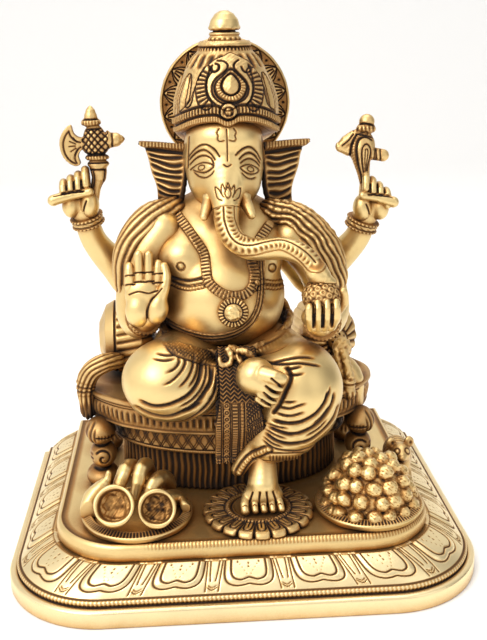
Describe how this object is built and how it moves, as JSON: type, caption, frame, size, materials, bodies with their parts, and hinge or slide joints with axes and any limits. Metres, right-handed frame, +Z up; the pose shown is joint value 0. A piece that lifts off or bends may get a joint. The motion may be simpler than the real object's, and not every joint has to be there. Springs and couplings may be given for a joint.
{
  "type": "ganesha idol",
  "caption": "Seated elephant-headed deity in cast brass with a blessing hand, raised attributes, halo, throne, offerings and a hollow lotus plinth that rests on its rim.",
  "frame": {"origin": "centre of the plinth's bounding rectangle on the surface that the idol stands on", "axes": "+Z up; the idol faces -Y; +X is the right hand side as seen by somebody who faces the idol"},
  "size_m": [0.286, 0.216, 0.33],
  "materials": {
    "polished_brass": "hand-buffed cast brass with dark patina left in the folds",
    "antiqued_brass": "engraved cast brass, raised work buffed and the ground left dark",
    "plated_steel": "plated steel screws and washer"
  },
  "bodies": {
    "root": {"axe": "polished_brass", "bananas": "polished_brass", "bolster_left": "polished_brass", "bolster_right": "polished_brass", "bolster_tassel": "antiqued_brass", "coconut_half_left": "polished_brass", "coconut_half_right": "polished_brass", "crown": "antiqued_brass", "crown_finial": "antiqued_brass", "drape_left": "polished_brass", "drape_right": "polished_brass", "ear_left": "polished_brass", "ear_right": "polished_brass", "figure_tie_bolt": "plated_steel", "foot_left": "polished_brass", "foot_right": "polished_brass", "front_arm_left": "polished_brass", "front_arm_right": "polished_brass", "front_cuffs": "antiqued_brass", "front_hand_left": "polished_brass", "front_hand_right": "polished_brass", "fruit_dish": "polished_brass", "goad": "polished_brass", "halo": "antiqued_brass", "head": "polished_brass", "leg_left": "polished_brass", "leg_right": "polished_brass", "lotus_footrest": "antiqued_brass", "mouse": "polished_brass", "necklace": "antiqued_brass", "pendant": "antiqued_brass", "plinth_deck": "antiqued_brass", "plinth_rim": "antiqued_brass", "rear_arm_left": "polished_brass", "rear_arm_right": "polished_brass", "rear_cuffs": "antiqued_brass", "rear_hand_left": "polished_brass", "rear_hand_right": "polished_brass", "sacred_thread": "antiqued_brass", "sash_panel": "antiqued_brass", "shawl_left": "polished_brass", "shawl_right": "polished_brass", "sweet_ball": "polished_brass", "sweets_dish": "polished_brass", "sweets_heap": "polished_brass", "throne_apron": "antiqued_brass", "throne_bolts": "plated_steel", "throne_foot_front_left": "antiqued_brass", "throne_foot_front_right": "antiqued_brass", "throne_foot_rear_left": "antiqued_brass", "throne_foot_rear_right": "antiqued_brass", "throne_seat": "antiqued_brass", "throne_skirt": "antiqued_brass", "tie_washer": "plated_steel", "torso": "polished_brass", "trunk": "polished_brass", "tusk_left": "polished_brass", "tusk_right": "polished_brass", "waist_belt": "antiqued_brass"}
  },
  "joints": []
}
